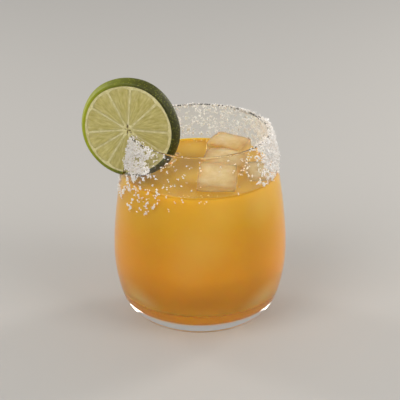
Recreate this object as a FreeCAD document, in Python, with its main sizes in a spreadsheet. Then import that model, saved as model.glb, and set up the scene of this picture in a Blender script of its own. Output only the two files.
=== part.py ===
"""A margarita in a stemless glass, with a lime wheel pushed onto the rim.

Three pieces: the blown glass, the drink that fills it and the lime wheel.  The frame has its
origin at the centre of the glass's flat base, with +Z up.  -Y is the front, and the wheel
sits on the rim at -X.  Sizes are in millimetres and degrees, in the sheet called Sizes.
"""
import FreeCAD, Part
import math
import os

import Sketcher

SIZES = {
    # glass, outside: base, heel arc, bowl arc, belly arc and upper arc, each tangent to the next
    "glassHeight": 104.5,
    "rimRadius": 36.7,
    "bellyRadius": 45.0,
    "bellyHeight": 40.0,
    "bellyArc": 178.0,
    "shoulderHeight": 55.0,
    "baseRadius": 19.6,
    "heelRadius": 22.6,
    # glass, inside
    "wall": 1.6,
    "floorThickness": 14.0,
    "floorInset": 24.4,
    "floorHeel": 21.5,
    # drink
    "fillLevel": 83.0,
    "drinkGap": 0.05,
    # lime wheel, a slice with a sloping peel
    "wheelRadius": 26.6,
    "wheelFaceRadius": 24.6,
    "wheelThickness": 5.0,
    "peelArc": 9.0,
    "cutEdgeRound": 0.4,
    # how the wheel sits: round the rim from -X to the front, turned, leaning back
    "seatAngle": 10.0,
    "wheelTurn": 17.0,
    "wheelLean": 5.0,
    "coreAboveRim": 3.3,
    "coreOutside": 1.0,
    "slitGap": 0.3,
}

ORIGIN = (-1, 1)
VERTICAL_AXIS = -2
START, END, CENTRE = 1, 2, 3
UP = FreeCAD.Vector(0, 0, 1)
TINY = 0.001


# ---------------------------------------------------------------- document helpers

def make_sheet(doc):
    """The driving dimensions, one named cell each."""
    sheet = doc.addObject("Spreadsheet::Sheet", "Sizes")
    for row, (alias, value) in enumerate(SIZES.items(), start=1):
        sheet.set(f"A{row}", alias)
        sheet.set(f"B{row}", str(value))
        sheet.setAlias(f"B{row}", alias)
    doc.recompute()
    return sheet


def make_body(doc, name):
    body = doc.addObject("PartDesign::Body", name)
    body.Label = name
    return body


def upright_sketch(body, name):
    """A sketch on the body's XZ plane, where sketch x is the radius and sketch y the height."""
    sketch = body.newObject("Sketcher::SketchObject", name)
    plane = next(f for f in body.Origin.OriginFeatures if f.Role == "XZ_Plane")
    sketch.AttachmentSupport = [(plane, "")]
    sketch.MapMode = "FlatFace"
    return sketch


def revolve(body, sketch, name):
    """The sketch turned a full circle about its vertical axis."""
    turned = body.newObject("PartDesign::Revolution", name)
    turned.Profile = sketch
    turned.ReferenceAxis = (sketch, ["V_Axis"])
    turned.Angle = 360.0
    return turned


def add_arc(sketch, centre, radius, low, high):
    """An arc from angle low to angle high, in radians, anticlockwise."""
    circle = Part.Circle(FreeCAD.Vector(*centre, 0), UP, radius)
    return sketch.addGeometry(Part.ArcOfCircle(circle, low, high), False)


def add_line(sketch, first, last):
    line = Part.LineSegment(FreeCAD.Vector(*first, 0), FreeCAD.Vector(*last, 0))
    return sketch.addGeometry(line, False)


def fix(sketch, kind, *what):
    sketch.addConstraint(Sketcher.Constraint(kind, *what))


def radius_of(sketch, name, arc, expression):
    """Names an arc's radius and binds it to an expression."""
    index = sketch.addConstraint(Sketcher.Constraint("Radius", arc, sketch.Geometry[arc].Radius))
    sketch.renameConstraint(index, name)
    sketch.setExpression("Constraints." + name, expression)


def place_of(sketch, name, kind, point, expression):
    """Names a point's DistanceX or DistanceY from the origin and binds it."""
    spot = sketch.getPoint(*point)
    value = spot.x if kind == "DistanceX" else spot.y
    index = sketch.addConstraint(Sketcher.Constraint(kind, *ORIGIN, *point, value))
    sketch.renameConstraint(index, name)
    sketch.setExpression("Constraints." + name, expression)


def measure(sketch, name, kind, *what):
    """A reference dimension: it is read by other sketches and drives nothing."""
    index = sketch.addConstraint(Sketcher.Constraint(kind, *what))
    sketch.setDriving(index, False)
    sketch.renameConstraint(index, name)


# ---------------------------------------------------------------- the wall's curve

FLOOR_OUT = "Sizes.bellyRadius - Sizes.wall - Sizes.floorInset"


def floor_radius(size):
    """Where the flat of the floor ends: the named inset in from the belly's inner wall."""
    return size["bellyRadius"] - size["wall"] - size["floorInset"]


def lower_arcs(size, foot_radius, foot_height, heel, side_radius):
    """The heel arc, and the bowl arc that is tangent to it and upright at the belly."""
    heel_centre = (foot_radius, foot_height + heel)
    across = side_radius - heel_centre[0]
    rise = size["bellyHeight"] - heel_centre[1]
    bowl = (across ** 2 + rise ** 2 - heel ** 2) / (2 * (across - heel))
    bowl_centre = (side_radius - bowl, size["bellyHeight"])
    turn = math.atan2(heel_centre[1] - bowl_centre[1], heel_centre[0] - bowl_centre[0])
    return heel_centre, bowl_centre, bowl, turn


def upper_arcs(size):
    """Centres, outside radii and angles of the belly arc and the upper arc, and the lip's centre."""
    half = size["wall"] / 2
    belly = size["bellyArc"]
    belly_centre = (size["bellyRadius"] - belly, size["bellyHeight"])
    shoulder = math.asin((size["shoulderHeight"] - size["bellyHeight"]) / belly)
    lip = (size["rimRadius"] - half, size["glassHeight"] - half)
    along = (math.cos(shoulder), math.sin(shoulder))
    joint = [belly_centre[i] + (belly - half) * along[i] for i in (0, 1)]
    chord = [lip[i] - joint[i] for i in (0, 1)]
    middle = -(chord[0] ** 2 + chord[1] ** 2) / (2 * (chord[0] * along[0] + chord[1] * along[1]))
    upper_centre = tuple(joint[i] - middle * along[i] for i in (0, 1))
    lip_turn = math.atan2(lip[1] - upper_centre[1], lip[0] - upper_centre[0])
    return belly_centre, shoulder, upper_centre, middle + half, lip, lip_turn


# ---------------------------------------------------------------- glass

def make_glass(doc, size):
    """A stemless glass: thick floor, full belly, thin wall drawn in to a fire-rounded lip."""
    body = make_body(doc, "glass")
    sketch = upright_sketch(body, "GlassProfile")
    wall = size["wall"]
    belly_centre, shoulder, upper_centre, upper, lip, lip_turn = upper_arcs(size)
    out = lower_arcs(size, size["baseRadius"], 0.0, size["heelRadius"], size["bellyRadius"])
    inn = lower_arcs(size, floor_radius(size), size["floorThickness"], size["floorHeel"],
                     size["bellyRadius"] - wall)

    base = add_line(sketch, (0, 0), (size["baseRadius"], 0))
    heel = add_arc(sketch, out[0], size["heelRadius"], -math.pi / 2, out[3])
    bowl = add_arc(sketch, out[1], out[2], out[3], 0.0)
    belly = add_arc(sketch, belly_centre, size["bellyArc"], 0.0, shoulder)
    neck = add_arc(sketch, upper_centre, upper, shoulder, lip_turn)
    edge = add_arc(sketch, lip, wall / 2, lip_turn, lip_turn + math.pi)
    neck_in = add_arc(sketch, upper_centre, upper - wall, shoulder, lip_turn)
    belly_in = add_arc(sketch, belly_centre, size["bellyArc"] - wall, 0.0, shoulder)
    bowl_in = add_arc(sketch, inn[1], inn[2], inn[3], 0.0)
    heel_in = add_arc(sketch, inn[0], size["floorHeel"], -math.pi / 2, inn[3])
    floor = add_line(sketch, (0, size["floorThickness"]),
                     (floor_radius(size), size["floorThickness"]))
    axis = add_line(sketch, (0, 0), (0, size["floorThickness"]))

    fix(sketch, "Coincident", base, START, *ORIGIN)
    fix(sketch, "Horizontal", base)
    for first, first_end, second, second_end in (
            (base, END, heel, START), (heel, END, bowl, START), (bowl, END, belly, START),
            (belly, END, neck, START), (neck, END, edge, START), (edge, END, neck_in, END),
            (neck_in, START, belly_in, END), (belly_in, START, bowl_in, END),
            (bowl_in, START, heel_in, END), (heel_in, START, floor, END)):
        fix(sketch, "Tangent", first, first_end, second, second_end)
    fix(sketch, "Coincident", neck_in, CENTRE, neck, CENTRE)
    fix(sketch, "Coincident", belly_in, CENTRE, belly, CENTRE)
    fix(sketch, "Horizontal", floor)
    fix(sketch, "Coincident", axis, START, *ORIGIN)
    fix(sketch, "Coincident", axis, END, floor, START)
    fix(sketch, "PointOnObject", floor, START, VERTICAL_AXIS)

    place_of(sketch, "baseEdge", "DistanceX", (base, END), "Sizes.baseRadius")
    radius_of(sketch, "heel", heel, "Sizes.heelRadius")
    place_of(sketch, "bellyOut", "DistanceX", (belly, START), "Sizes.bellyRadius")
    place_of(sketch, "bellyUp", "DistanceY", (belly, START), "Sizes.bellyHeight")
    place_of(sketch, "bowlUp", "DistanceY", (bowl, CENTRE), "Sizes.bellyHeight")
    radius_of(sketch, "belly", belly, "Sizes.bellyArc")
    place_of(sketch, "shoulderUp", "DistanceY", (belly, END), "Sizes.shoulderHeight")
    radius_of(sketch, "lip", edge, "Sizes.wall / 2")
    place_of(sketch, "lipOut", "DistanceX", (edge, CENTRE), "Sizes.rimRadius - Sizes.wall / 2")
    place_of(sketch, "lipUp", "DistanceY", (edge, CENTRE), "Sizes.glassHeight - Sizes.wall / 2")
    place_of(sketch, "bellyInUp", "DistanceY", (belly_in, START), "Sizes.bellyHeight")
    radius_of(sketch, "floorHeel", heel_in, "Sizes.floorHeel")
    place_of(sketch, "floorUp", "DistanceY", (floor, END), "Sizes.floorThickness")
    place_of(sketch, "floorOut", "DistanceX", (floor, END), FLOOR_OUT)

    measure(sketch, "neckRadius", "Radius", neck, upper)
    measure(sketch, "neckBehind", "DistanceX", neck, CENTRE, *ORIGIN, -upper_centre[0])
    measure(sketch, "neckUp", "DistanceY", *ORIGIN, neck, CENTRE, upper_centre[1])
    revolve(body, sketch, "GlassTurned")
    return body


# ---------------------------------------------------------------- drink

def make_drink(doc, size, wheel_place):
    """The drink fills the glass to its level, and is cut round the wheel where that dips in."""
    body = make_body(doc, "drink_fill")
    sketch = upright_sketch(body, "DrinkProfile")
    inset = size["wall"] + size["drinkGap"]
    belly_centre, shoulder, upper_centre, upper, lip, lip_turn = upper_arcs(size)
    low = lower_arcs(size, floor_radius(size), size["floorThickness"] + size["drinkGap"],
                     size["floorHeel"] - size["drinkGap"], size["bellyRadius"] - inset)
    level = size["fillLevel"]
    level_turn = math.asin((level - upper_centre[1]) / (upper - inset))
    brim = upper_centre[0] + (upper - inset) * math.cos(level_turn)
    foot = size["floorThickness"] + size["drinkGap"]

    floor = add_line(sketch, (0, foot), (floor_radius(size), foot))
    heel = add_arc(sketch, low[0], size["floorHeel"] - size["drinkGap"], -math.pi / 2, low[3])
    bowl = add_arc(sketch, low[1], low[2], low[3], 0.0)
    belly = add_arc(sketch, belly_centre, size["bellyArc"] - inset, 0.0, shoulder)
    neck = add_arc(sketch, upper_centre, upper - inset, shoulder, level_turn)
    top = add_line(sketch, (brim, level), (0, level))
    axis = add_line(sketch, (0, level), (0, foot))

    for first, first_end, second, second_end in (
            (floor, END, heel, START), (heel, END, bowl, START),
            (bowl, END, belly, START), (belly, END, neck, START)):
        fix(sketch, "Tangent", first, first_end, second, second_end)
    fix(sketch, "Coincident", neck, END, top, START)
    fix(sketch, "Coincident", top, END, axis, START)
    fix(sketch, "Coincident", axis, END, floor, START)
    fix(sketch, "Horizontal", floor)
    fix(sketch, "Horizontal", top)
    fix(sketch, "Vertical", axis)
    fix(sketch, "PointOnObject", floor, START, VERTICAL_AXIS)

    inside = " - Sizes.wall - Sizes.drinkGap"
    place_of(sketch, "floorUp", "DistanceY", (floor, END), "Sizes.floorThickness + Sizes.drinkGap")
    place_of(sketch, "floorOut", "DistanceX", (floor, END), FLOOR_OUT)
    radius_of(sketch, "heel", heel, "Sizes.floorHeel - Sizes.drinkGap")
    place_of(sketch, "bellyOut", "DistanceX", (belly, START), "Sizes.bellyRadius" + inside)
    place_of(sketch, "bellyUp", "DistanceY", (belly, START), "Sizes.bellyHeight")
    place_of(sketch, "bowlUp", "DistanceY", (bowl, CENTRE), "Sizes.bellyHeight")
    radius_of(sketch, "belly", belly, "Sizes.bellyArc" + inside)
    radius_of(sketch, "neck", neck, "GlassProfile.Constraints.neckRadius / 1 mm" + inside)
    place_of(sketch, "neckUp", "DistanceY", (neck, CENTRE), "GlassProfile.Constraints.neckUp")
    place_of(sketch, "level", "DistanceY", (top, START), "Sizes.fillLevel")
    revolve(body, sketch, "DrinkTurned")

    room = doc.addObject("Part::Cylinder", "WheelRoom")
    room.setExpression("Radius", "Sizes.wheelRadius + Sizes.slitGap")
    room.setExpression("Height", "Sizes.wheelThickness + 2 * Sizes.slitGap")
    half = size["wheelThickness"] / 2 + size["slitGap"]
    room.Placement = wheel_place.multiply(FreeCAD.Placement(UP * -half, FreeCAD.Rotation()))
    return subtract(doc, "drink", body, room)


# ---------------------------------------------------------------- lime wheel

def wheel_seat(size):
    """Where the wheel sits: its core over the lip, its face to the front and a little outward."""
    seat = math.radians(size["seatAngle"])
    turn = math.radians(size["wheelTurn"])
    lean = math.radians(size["wheelLean"])
    ring = size["rimRadius"] - size["wall"] / 2
    across = FreeCAD.Vector(math.cos(turn), -math.sin(turn), 0)
    forward = FreeCAD.Vector(-math.sin(turn), -math.cos(turn), 0)
    face = forward * math.cos(lean) + UP * math.sin(lean)
    centre = FreeCAD.Vector(-ring * math.cos(seat), -ring * math.sin(seat), size["glassHeight"])
    centre = centre - across * size["coreOutside"] + UP * size["coreAboveRim"]
    return FreeCAD.Placement(centre, FreeCAD.Rotation(across, face.cross(across), face, "ZXY"))


def make_slit_band(doc, size):
    """The glass wall from shoulder to lip with a gap all round it: what the slit leaves free."""
    body = make_body(doc, "slit_band")
    sketch = upright_sketch(body, "BandProfile")
    gap = size["slitGap"]
    upper_centre, upper, lip, lip_turn = upper_arcs(size)[2:]
    foot = size["shoulderHeight"]
    radii = (upper + gap, upper - size["wall"] - gap)
    turns = [math.asin((foot - upper_centre[1]) / radius) for radius in radii]
    feet = [(upper_centre[0] + radius * math.cos(turn), foot) for radius, turn in zip(radii, turns)]

    outside = add_arc(sketch, upper_centre, radii[0], turns[0], lip_turn)
    over = add_arc(sketch, lip, size["wall"] / 2 + gap, lip_turn, lip_turn + math.pi)
    inside = add_arc(sketch, upper_centre, radii[1], turns[1], lip_turn)
    bottom = add_line(sketch, feet[1], feet[0])

    fix(sketch, "Tangent", outside, END, over, START)
    fix(sketch, "Tangent", over, END, inside, END)
    fix(sketch, "Coincident", inside, CENTRE, outside, CENTRE)
    fix(sketch, "Coincident", inside, START, bottom, START)
    fix(sketch, "Coincident", bottom, END, outside, START)
    fix(sketch, "Horizontal", bottom)
    index = sketch.addConstraint(Sketcher.Constraint("DistanceX", outside, CENTRE, *ORIGIN,
                                                     -upper_centre[0]))
    sketch.renameConstraint(index, "behind")
    sketch.setExpression("Constraints.behind", "GlassProfile.Constraints.neckBehind")
    place_of(sketch, "up", "DistanceY", (outside, CENTRE), "GlassProfile.Constraints.neckUp")
    place_of(sketch, "lipOut", "DistanceX", (over, CENTRE), "Sizes.rimRadius - Sizes.wall / 2")
    place_of(sketch, "lipUp", "DistanceY", (over, CENTRE), "Sizes.glassHeight - Sizes.wall / 2")
    radius_of(sketch, "over", over, "Sizes.wall / 2 + Sizes.slitGap")
    place_of(sketch, "foot", "DistanceY", (bottom, END), "Sizes.shoulderHeight")
    revolve(body, sketch, "BandTurned")
    return body


def make_lime_wheel(doc, size, wheel_place):
    """A wheel of lime with a sloping peel, slit from edge to core to sit over the wall."""
    body = make_body(doc, "wheel_blank")
    sketch = upright_sketch(body, "WheelProfile")
    half = size["wheelThickness"] / 2
    back, face, bulge = size["wheelRadius"], size["wheelFaceRadius"], size["peelArc"]
    slope = (face - back, 2 * half)
    length = math.hypot(*slope)
    reach = math.sqrt(bulge ** 2 - length ** 2 / 4)
    centre = ((face + back) / 2 - reach * slope[1] / length, reach * slope[0] / length)
    angles = [math.atan2(y - centre[1], x - centre[0]) for x, y in ((back, -half), (face, half))]

    rear = add_line(sketch, (0, -half), (back, -half))
    peel = add_arc(sketch, centre, bulge, *angles)
    front = add_line(sketch, (face, half), (0, half))
    axis = add_line(sketch, (0, half), (0, -half))
    for first, second in ((rear, peel), (peel, front), (front, axis), (axis, rear)):
        fix(sketch, "Coincident", first, END, second, START)
    fix(sketch, "Horizontal", rear)
    fix(sketch, "Horizontal", front)
    fix(sketch, "Vertical", axis)
    fix(sketch, "PointOnObject", rear, START, VERTICAL_AXIS)
    place_of(sketch, "rearDown", "DistanceY", (rear, END), "-Sizes.wheelThickness / 2")
    place_of(sketch, "frontUp", "DistanceY", (front, START), "Sizes.wheelThickness / 2")
    place_of(sketch, "rearOut", "DistanceX", (rear, END), "Sizes.wheelRadius")
    place_of(sketch, "frontOut", "DistanceX", (front, START), "Sizes.wheelFaceRadius")
    radius_of(sketch, "bulge", peel, "Sizes.peelArc")
    turned = revolve(body, sketch, "WheelTurned")
    doc.recompute()

    rims = [f"Edge{i}" for i, edge in enumerate(turned.Shape.Edges, start=1)
            if isinstance(edge.Curve, Part.Circle) and edge.Curve.Radius > min(face, back) - TINY]
    rounding = body.newObject("PartDesign::Fillet", "CutEdges")
    rounding.Base = (turned, rims)
    rounding.setExpression("Radius", "Sizes.cutEdgeRound")
    body.Placement = wheel_place
    return subtract(doc, "lime_wheel", body, make_slit_band(doc, size))


# ---------------------------------------------------------------- build and export

def subtract(doc, label, keep, remove):
    cut = doc.addObject("Part::Cut", label)
    cut.Label = label
    cut.Base = keep
    cut.Tool = remove
    return cut


def check_document(doc, nodes):
    """Stops on any failed object, on a bad solid and on a wheel that got no slit."""
    for item in doc.Objects:
        if "Invalid" in item.State or "Error" in item.State:
            raise RuntimeError(f"{item.Label} failed: {item.State}")
    for node in nodes:
        shape = node.Shape
        if shape.isNull() or not shape.isValid() or len(shape.Solids) != 1:
            raise RuntimeError(f"{node.Label} is not one valid solid")
        if node.Label == "lime_wheel" and shape.Volume >= node.Base.Shape.Volume:
            raise RuntimeError("the lime wheel has no slit")
        print(f"{node.Label}: {shape.Volume / 1000:.2f} cm3, valid")


def main():
    doc = FreeCAD.newDocument("margarita")
    make_sheet(doc)
    wheel_place = wheel_seat(SIZES)
    nodes = [make_glass(doc, SIZES)]
    doc.recompute()
    nodes.append(make_drink(doc, SIZES, wheel_place))
    nodes.append(make_lime_wheel(doc, SIZES, wheel_place))
    doc.recompute()
    check_document(doc, nodes)
    os.makedirs("parts", exist_ok=True)
    for node in nodes:
        node.Shape.exportStep(f"parts/{node.Label}.step")


main()
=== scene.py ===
# %% [markdown]
# # A margarita with a salted rim
#
# The imported part gives three solids: a stemless glass, the drink in it and a lime wheel on the
# rim. Everything here is built in metres around that fixed frame. We load the frame first and
# keep it, since the glass and the drink take sizes from its box.

import math
import random

import bmesh
import bpy
import numpy as np
from mathutils import Matrix, Vector, noise


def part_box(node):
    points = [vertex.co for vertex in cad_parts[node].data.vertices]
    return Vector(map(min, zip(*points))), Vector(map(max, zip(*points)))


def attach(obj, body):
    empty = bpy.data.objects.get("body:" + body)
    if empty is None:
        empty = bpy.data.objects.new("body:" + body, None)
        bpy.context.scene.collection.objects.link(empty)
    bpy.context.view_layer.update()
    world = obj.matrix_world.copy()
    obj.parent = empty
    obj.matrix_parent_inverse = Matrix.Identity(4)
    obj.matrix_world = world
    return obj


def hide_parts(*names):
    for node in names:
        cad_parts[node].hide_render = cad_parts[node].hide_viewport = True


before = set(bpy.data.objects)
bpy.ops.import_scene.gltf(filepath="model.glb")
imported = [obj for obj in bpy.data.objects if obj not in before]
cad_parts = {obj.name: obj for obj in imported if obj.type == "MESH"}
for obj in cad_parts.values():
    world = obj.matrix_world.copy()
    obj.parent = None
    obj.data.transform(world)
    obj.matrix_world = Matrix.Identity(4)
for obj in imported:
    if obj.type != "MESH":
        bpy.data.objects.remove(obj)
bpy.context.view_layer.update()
print("frame holds", sorted(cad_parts))

MM = 0.001
SEED = 11
# The vector noise in the lime's flesh would otherwise start from the clock.
noise.seed_set(SEED)

# %% [markdown]
# Colours are read off a colour chart as sRGB hex, because that is how a maker notes them.
# Shaders add light in linear values, so one function turns hex into linear. A second small
# function adds a node, fills its inputs and joins it to what it reads. Every material below
# is made with these two and a few short forms of them.

# %% Colour and node helpers


def hex_to_linear(code):
    """'#rrggbb' in sRGB as a linear (r, g, b, 1)."""
    shares = [int(code[i:i + 2], 16) / 255 for i in (1, 3, 5)]
    linear = [s / 12.92 if s <= 0.04045 else ((s + 0.055) / 1.055) ** 2.4 for s in shares]
    return (*linear, 1.0)


def add_node(material, kind, inputs=None, **settings):
    """Adds a node. inputs maps a socket's name or number to a value or to another socket."""
    node = material.node_tree.nodes.new(kind)
    for name, value in settings.items():
        setattr(node, name, value)
    for name, value in (inputs or {}).items():
        if isinstance(value, bpy.types.NodeSocket):
            material.node_tree.links.new(value, node.inputs[name])
        else:
            node.inputs[name].default_value = value
    return node


def new_material(name):
    """An empty node material and its output node."""
    material = bpy.data.materials.new(name)
    material.use_nodes = True
    material.node_tree.nodes.clear()
    return material, add_node(material, "ShaderNodeOutputMaterial")


def ramp(material, value, stops):
    """A colour ramp: stops are (place, '#rrggbb')."""
    node = add_node(material, "ShaderNodeValToRGB", {"Fac": value})
    elements = node.color_ramp.elements
    while len(elements) < len(stops):
        elements.new(0.5)
    for element, (place, code) in zip(elements, stops):
        element.position = place
        element.color = hex_to_linear(code)
    return node.outputs["Color"]


def map_range(material, value, low, high, to_low=0.0, to_high=1.0, **settings):
    """value rescaled from low..high to to_low..to_high and held at both ends."""
    return add_node(material, "ShaderNodeMapRange", {
        "Value": value, "From Min": low, "From Max": high, "To Min": to_low, "To Max": to_high},
        **settings).outputs["Result"]


def calculate(material, operation, *values):
    return add_node(material, "ShaderNodeMath", dict(enumerate(values)), operation=operation).outputs[0]


def mix_colour(material, share, colour, code):
    """colour turned towards '#rrggbb' by a share."""
    return add_node(material, "ShaderNodeMix", {
        "Factor": share, 6: colour, 7: hex_to_linear(code)}, data_type="RGBA").outputs[2]


def place_in(material):
    """The point being shaded, in metres."""
    return add_node(material, "ShaderNodeTexCoord").outputs["Object"]


def finish_material(material, output, shader, shadow_tint=None):
    """Joins the shader to the output. Given a tint, shadow rays go straight through, tinted."""
    surface = shader.outputs["BSDF"]
    if shadow_tint:
        clear = add_node(material, "ShaderNodeBsdfTransparent", {"Color": shadow_tint})
        path = add_node(material, "ShaderNodeLightPath")
        surface = add_node(material, "ShaderNodeMixShader", {
            0: path.outputs["Is Shadow Ray"], 1: surface, 2: clear.outputs["BSDF"]}).outputs["Shader"]
    material.node_tree.links.new(surface, output.inputs["Surface"])
    return material


# %% [markdown]
# ## Camera, floor and light
#
# A glass looks truest from far off through a long lens, because its rim and its base are then
# seen from almost the same angle. The camera stands 1.5 m back and looks down at 25 degrees,
# about as a guest leaning on the bar does, and the lens is long enough to fill the frame.

# %% Camera
CAMERA_DISTANCE = 1.538
CAMERA_RISE = math.radians(24.9)
AIM_HEIGHT = 40.5 * MM
AIM_LIFT = math.radians(0.83)
LENS_MM = 263.7
SENSOR_MM = 36.0
NEAREST_SEEN = 0.05

camera_data = bpy.data.cameras.new("camera")
camera_data.lens = LENS_MM
camera_data.sensor_width = SENSOR_MM
camera_data.clip_start = NEAREST_SEEN
camera = bpy.data.objects.new("camera", camera_data)
camera.location = (0.0, -CAMERA_DISTANCE * math.cos(CAMERA_RISE),
                   AIM_HEIGHT + CAMERA_DISTANCE * math.sin(CAMERA_RISE))
camera.rotation_euler = (math.pi / 2 - CAMERA_RISE + AIM_LIFT, 0.0, 0.0)
bpy.context.scene.collection.objects.link(camera)
bpy.context.scene.camera = camera
bpy.context.scene.view_settings.view_transform = "Standard"
print("camera at", [round(v, 3) for v in camera.location])

# %% [markdown]
# The floor is a plain matte board. Glass shows only what surrounds it, so the lights matter
# more than the floor. Two large soft boxes stand high in front, where the upright wall can't
# mirror them into the lens, and light the drink evenly. Two narrow ones stand low behind, left
# and right: they draw a thin bright line down each side and shine through the thick base.

# %% Floor and soft boxes
FLOOR_HALF = 3.0
LIGHT_AIM = (0.0, 0.0, 0.06)
WORLD_STRENGTH = 0.45


def make_floor():
    mesh = bpy.data.meshes.new("floor")
    corners = [(-FLOOR_HALF, -FLOOR_HALF, 0), (FLOOR_HALF, -FLOOR_HALF, 0),
               (FLOOR_HALF, FLOOR_HALF, 0), (-FLOOR_HALF, FLOOR_HALF, 0)]
    mesh.from_pydata(corners, [], [(0, 1, 2, 3)])
    floor = bpy.data.objects.new("floor", mesh)
    bpy.context.scene.collection.objects.link(floor)
    material, output = new_material("matte_board")
    shader = add_node(material, "ShaderNodeBsdfPrincipled", {
        "Base Color": hex_to_linear("#b9b8b6"), "Roughness": 0.75})
    mesh.materials.append(finish_material(material, output, shader))


def soft_box(name, place, width, height, watts, tint):
    data = bpy.data.lights.new(name, "AREA")
    data.shape = "RECTANGLE"
    data.size, data.size_y = width, height
    data.energy = watts
    data.color = hex_to_linear(tint)[:3]
    light = bpy.data.objects.new(name, data)
    light.location = place
    light.rotation_euler = (Vector(LIGHT_AIM) - Vector(place)).to_track_quat("-Z", "Y").to_euler()
    bpy.context.scene.collection.objects.link(light)


make_floor()
soft_box("key_box", (-0.55, -0.75, 1.00), 0.70, 0.70, 7.6, "#fffaf4")
soft_box("fill_box", (0.75, -0.60, 0.85), 0.60, 0.60, 4.8, "#fffaf4")
soft_box("rim_box_left", (-0.55, 0.36, 0.26), 0.14, 0.60, 1.7, "#fff8f0")
soft_box("rim_box_right", (0.55, 0.40, 0.30), 0.16, 0.60, 2.6, "#fff8f0")

world = bpy.data.worlds.new("studio")
world.use_nodes = True
world.node_tree.nodes["Background"].inputs["Color"].default_value = hex_to_linear("#eeeeec")
world.node_tree.nodes["Background"].inputs["Strength"].default_value = WORLD_STRENGTH
bpy.context.scene.world = world

# %% [markdown]
# ## The glass
#
# A stemless glass is blown in a turning mould, so it is a solid of revolution: a flat base, a
# rounded heel, a full belly and a wall that draws in to a fire-polished lip. We could keep the
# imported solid, but it is made of flat facets, and glass shows each facet as a kink in what is
# seen through it. So we turn the same profile again, with fine steps, and shade it smooth.
# The profile is a chain of arcs, each tangent to the next, with the sizes of the real glass.

# %% The wall's arcs
glass_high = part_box("glass")[1]
RIM_HEIGHT = glass_high.z
BELLY_RADIUS = glass_high.x
RIM_RADIUS = 36.7 * MM
BELLY_HEIGHT = 40.0 * MM
BELLY_ARC = 178.0 * MM
SHOULDER_HEIGHT = 55.0 * MM
BASE_RADIUS = 19.6 * MM
HEEL_RADIUS = 22.6 * MM
WALL = 1.6 * MM
FLOOR_THICKNESS = 14.0 * MM
FLOOR_RADIUS = 19.0 * MM
FLOOR_HEEL = 21.5 * MM
FILL_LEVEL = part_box("drink")[1].z
ARC_STEPS = 24
LIP_STEPS = 12


def arc(centre, radius, first, last, steps=ARC_STEPS):
    """Points on an arc from angle first to angle last, in the plane of radius and height."""
    return [(centre[0] + radius * math.cos(first + (last - first) * i / steps),
             centre[1] + radius * math.sin(first + (last - first) * i / steps))
            for i in range(steps + 1)]


def bowl_arcs(foot_radius, foot_height, heel, side):
    """The heel arc, and the bowl arc tangent to it that stands upright at the belly."""
    heel_centre = (foot_radius, foot_height + heel)
    across = side - heel_centre[0]
    rise = BELLY_HEIGHT - heel_centre[1]
    bowl = (across ** 2 + rise ** 2 - heel ** 2) / (2 * (across - heel))
    bowl_centre = (side - bowl, BELLY_HEIGHT)
    turn = math.atan2(heel_centre[1] - bowl_centre[1], heel_centre[0] - bowl_centre[0])
    return arc(heel_centre, heel, -math.pi / 2, turn) + arc(bowl_centre, bowl, turn, 0.0)[1:]


def neck_arcs():
    """Centres, outside radii and end angles of the belly arc and the long arc up to the lip."""
    belly_centre = (BELLY_RADIUS - BELLY_ARC, BELLY_HEIGHT)
    shoulder = math.asin((SHOULDER_HEIGHT - BELLY_HEIGHT) / BELLY_ARC)
    lip = Vector((RIM_RADIUS - WALL / 2, RIM_HEIGHT - WALL / 2))
    along = Vector((math.cos(shoulder), math.sin(shoulder)))
    joint = Vector(belly_centre) + (BELLY_ARC - WALL / 2) * along
    chord = lip - joint
    middle = -chord.length_squared / (2 * chord.dot(along))
    neck_centre = joint - middle * along
    lip_turn = math.atan2(lip.y - neck_centre.y, lip.x - neck_centre.x)
    return belly_centre, shoulder, neck_centre, middle + WALL / 2, lip, lip_turn


BELLY_CENTRE, SHOULDER_TURN, NECK_CENTRE, NECK_ARC, LIP_CENTRE, LIP_TURN = neck_arcs()


def wall_curve(inset, top_turn=LIP_TURN):
    """The wall from foot to top, on the outside (inset 0) or inset into the glass."""
    if inset == 0.0:
        low = bowl_arcs(BASE_RADIUS, 0.0, HEEL_RADIUS, BELLY_RADIUS)
    else:
        low = bowl_arcs(FLOOR_RADIUS, FLOOR_THICKNESS + inset - WALL,
                        FLOOR_HEEL - (inset - WALL), BELLY_RADIUS - inset)
    belly = arc(BELLY_CENTRE, BELLY_ARC - inset, 0.0, SHOULDER_TURN)[1:]
    neck = arc(NECK_CENTRE, NECK_ARC - inset, SHOULDER_TURN, top_turn, 2 * ARC_STEPS)[1:]
    return low + belly + neck


def wall_radius(height, inset=0.0):
    """The wall's radius at a height above the shoulder."""
    return NECK_CENTRE.x + math.sqrt((NECK_ARC - inset) ** 2 - (height - NECK_CENTRE.y) ** 2)


print("glass", round(2 * BELLY_RADIUS / MM, 1), "mm across,", round(RIM_HEIGHT / MM, 1), "mm high")

# %% Turn a profile into a mesh
TURN_STEPS = 192
ON_AXIS = 1e-6


def link_piece(name, mesh, material, smooth=True):
    """Puts a mesh in the scene under a name."""
    if smooth:
        mesh.shade_smooth()
    if material:
        mesh.materials.append(material)
    piece = bpy.data.objects.new(name, mesh)
    bpy.context.scene.collection.objects.link(piece)
    return piece


def piece_from(name, vertices, faces, material, smooth=True):
    """A mesh object with outward normals."""
    mesh = bpy.data.meshes.new(name)
    mesh.from_pydata([tuple(v) for v in vertices], [], faces)
    work = bmesh.new()
    work.from_mesh(mesh)
    bmesh.ops.recalc_face_normals(work, faces=work.faces)
    work.to_mesh(mesh)
    work.free()
    return link_piece(name, mesh, material, smooth)


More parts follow.
